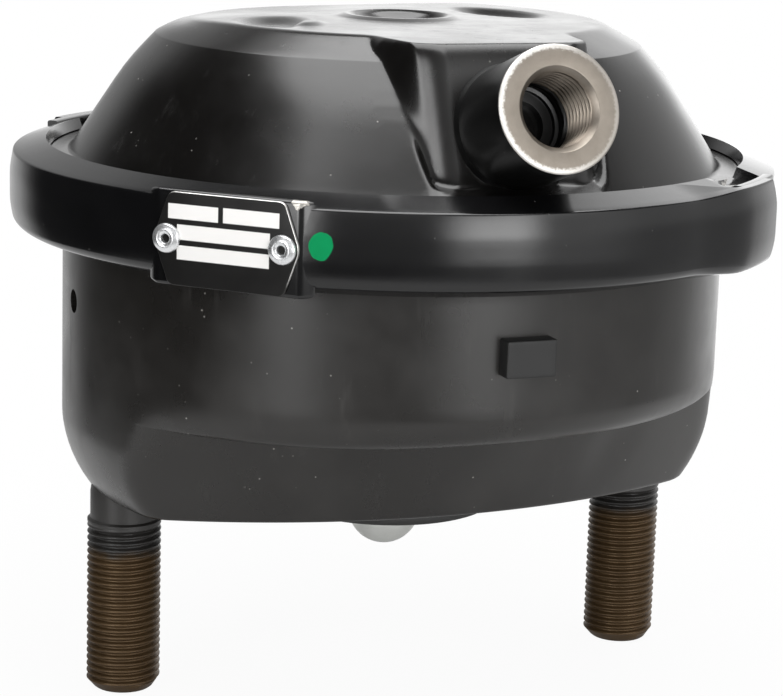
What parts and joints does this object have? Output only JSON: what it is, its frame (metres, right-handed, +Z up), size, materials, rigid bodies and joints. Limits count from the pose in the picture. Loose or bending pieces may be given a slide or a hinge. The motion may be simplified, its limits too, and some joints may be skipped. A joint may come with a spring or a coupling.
{
  "type": "air brake chamber",
  "caption": "Diaphragm air brake chamber: domed cover with a side air port, V-clamp band, deep cup on an oblong foot, studs and a sprung push rod.",
  "frame": {"origin": "middle of the flat mounting face, on the axis of the chamber and midway between the two studs", "axes": "+Z runs up the chamber axis from the mounting face to the cover, X runs along the line of the two studs, and the air port faces -Y"},
  "size_m": [0.1662, 0.1691, 0.1476],
  "materials": {
    "black_paint": "semi-gloss dip paint",
    "port_metal": "black paint with a bare machined face",
    "stud_metal": "dark bronze-coloured coating",
    "zinc": "zinc plated",
    "dark_steel": "dark coated steel",
    "plate": "printed aluminium with blank fields",
    "rivet": "bright",
    "spring_steel": "dark coated spring wire",
    "black_rubber": "matt",
    "vent_plastic": "matt"
  },
  "bodies": {
    "body": {"housing": "black_paint", "base_plate": "black_paint", "mounting_studs": "stud_metal", "vent_plugs": "vent_plastic", "pressure_housing": "black_paint", "port_boss": "port_metal", "clamp_front": "black_paint", "clamp_rear": "black_paint", "name_plate": "plate", "plate_rivets": "rivet", "diaphragm": "black_rubber", "return_spring": "spring_steel", "spring_seat": "zinc", "flange_seal": "black_rubber", "bellows": "black_rubber", "bellows_ring": "zinc"},
    "rod": {"push_rod": "zinc", "push_plate": "zinc", "bellows_clip": "zinc"}
  },
  "joints": [
    {"name": "rod_stroke", "type": "slide", "parent": "body", "child": "rod", "axis": [0, 0, -1], "range_m": [0, 0.057], "stiffness_N_per_m": 1400, "springref_m": -0.05, "deforming": ["diaphragm", "return_spring", "bellows"]}
  ]
}
